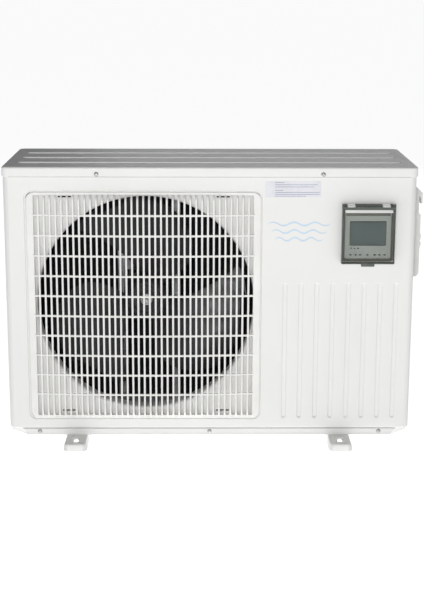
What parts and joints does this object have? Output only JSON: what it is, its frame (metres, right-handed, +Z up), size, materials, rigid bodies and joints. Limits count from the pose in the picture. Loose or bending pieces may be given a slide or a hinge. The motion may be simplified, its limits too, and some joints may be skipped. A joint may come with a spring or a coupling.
{
  "type": "pool heat pump unit",
  "caption": "Upright cabinet pool heat pump with a barred fan grille, fluted front, hinged smoked cover over a small controller, slotted feet and rear water unions.",
  "frame": {"origin": "centre of the outline box at ground level, under the feet", "axes": "+X to the right when facing the front, +Y from the grille side to the water unions, +Z up"},
  "size_m": [0.826, 0.41, 0.558],
  "materials": {
    "white_steel": "satin white powder coat with a faint orange peel",
    "white_plastic": "off-white moulded plastic, fine grain",
    "housing_plastic": "light grey moulded plastic",
    "smoked_plastic": "clear smoked polycarbonate, polished",
    "lcd_glass": "unlit liquid crystal panel under glass",
    "dark_plastic": "dark grey moulded plastic",
    "black_paint": "black enamel on pressed steel",
    "galvanised_steel": "galvanised sheet steel",
    "zinc_steel": "zinc plated steel",
    "coil_fins": "dark coated aluminium fins",
    "copper": "drawn copper tube, slightly tarnished",
    "brass": "machined brass",
    "rubber": "matt black rubber",
    "grey_pvc": "dark grey rigid plastic",
    "circuit_board": "green circuit board with components"
  },
  "bodies": {
    "casing": {"base_pan": "white_steel", "foot_left": "white_steel", "foot_right": "white_steel", "front_panel": "white_steel", "top_cover": "white_steel", "right_side_panel": "white_steel", "coil_guard": "white_steel", "front_grille": "white_plastic", "service_cover": "white_plastic", "cable_grommet_lower": "white_plastic", "cable_grommet_upper": "white_plastic", "terminal_block": "white_plastic", "display_housing": "housing_plastic", "lcd_module": "lcd_glass", "compressor_terminal_cap": "dark_plastic", "fan_motor": "black_paint", "compressor": "black_paint", "accumulator": "black_paint", "cover_hinge_pin_left": "black_paint", "cover_hinge_pin_right": "black_paint", "coil_end_plate": "galvanised_steel", "partition_plate": "galvanised_steel", "motor_bracket": "galvanised_steel", "electrical_box": "galvanised_steel", "run_capacitor": "zinc_steel", "cover_screw_1": "zinc_steel", "cover_screw_2": "zinc_steel", "panel_screw_1": "zinc_steel", "panel_screw_2": "zinc_steel", "panel_screw_3": "zinc_steel", "evaporator_fins": "coil_fins", "coil_header": "copper", "discharge_pipe": "copper", "suction_pipe": "copper", "coil_gas_pipe": "copper", "exchanger_gas_pipe": "copper", "warm_liquid_pipe": "copper", "cold_liquid_pipe": "copper", "reversing_valve": "brass", "expansion_valve": "brass", "compressor_grommet_1": "rubber", "compressor_grommet_2": "rubber", "compressor_grommet_3": "rubber", "water_heat_exchanger": "grey_pvc", "inlet_tailpiece": "grey_pvc", "outlet_tailpiece": "grey_pvc", "control_board": "circuit_board"},
    "fan": {"fan_impeller": "dark_plastic", "fan_shaft": "zinc_steel", "fan_nut": "zinc_steel"},
    "display_lid": {"display_cover": "smoked_plastic"},
    "inlet_nut": {"inlet_union_nut": "grey_pvc"},
    "outlet_nut": {"outlet_union_nut": "grey_pvc"},
    "key_1_plunger": {"key_1": "dark_plastic"},
    "key_2_plunger": {"key_2": "dark_plastic"},
    "key_3_plunger": {"key_3": "dark_plastic"},
    "key_4_plunger": {"key_4": "dark_plastic"},
    "key_5_plunger": {"key_5": "dark_plastic"},
    "key_6_plunger": {"key_6": "dark_plastic"},
    "key_7_plunger": {"key_7": "dark_plastic"}
  },
  "joints": [
    {"name": "fan_spin", "type": "hinge", "parent": "casing", "child": "fan", "pos_m": [-0.13675, -0.03, 0.283], "axis": [0, 1, 0], "continuous": true},
    {"name": "display_lid_hinge", "type": "hinge", "parent": "casing", "child": "display_lid", "pos_m": [0.29575, -0.1585, 0.4795], "axis": [-1, 0, 0], "range_deg": [0, 120]},
    {"name": "inlet_nut_turn", "type": "hinge", "parent": "casing", "child": "inlet_nut", "pos_m": [0.30125, 0.17, 0.118], "axis": [0, 1, 0], "continuous": true},
    {"name": "outlet_nut_turn", "type": "hinge", "parent": "casing", "child": "outlet_nut", "pos_m": [0.30125, 0.17, 0.322], "axis": [0, 1, 0], "continuous": true},
    {"name": "key_1_press", "type": "slide", "parent": "casing", "child": "key_1_plunger", "axis": [0, 1, 0], "range_m": [0, 0.0008], "stiffness_N_per_m": 300},
    {"name": "key_2_press", "type": "slide", "parent": "casing", "child": "key_2_plunger", "axis": [0, 1, 0], "range_m": [0, 0.0008], "stiffness_N_per_m": 300},
    {"name": "key_3_press", "type": "slide", "parent": "casing", "child": "key_3_plunger", "axis": [0, 1, 0], "range_m": [0, 0.0008], "stiffness_N_per_m": 300},
    {"name": "key_4_press", "type": "slide", "parent": "casing", "child": "key_4_plunger", "axis": [0, 1, 0], "range_m": [0, 0.0008], "stiffness_N_per_m": 300},
    {"name": "key_5_press", "type": "slide", "parent": "casing", "child": "key_5_plunger", "axis": [0, 1, 0], "range_m": [0, 0.0008], "stiffness_N_per_m": 300},
    {"name": "key_6_press", "type": "slide", "parent": "casing", "child": "key_6_plunger", "axis": [0, 1, 0], "range_m": [0, 0.0008], "stiffness_N_per_m": 300},
    {"name": "key_7_press", "type": "slide", "parent": "casing", "child": "key_7_plunger", "axis": [0, 1, 0], "range_m": [0, 0.0008], "stiffness_N_per_m": 300}
  ]
}
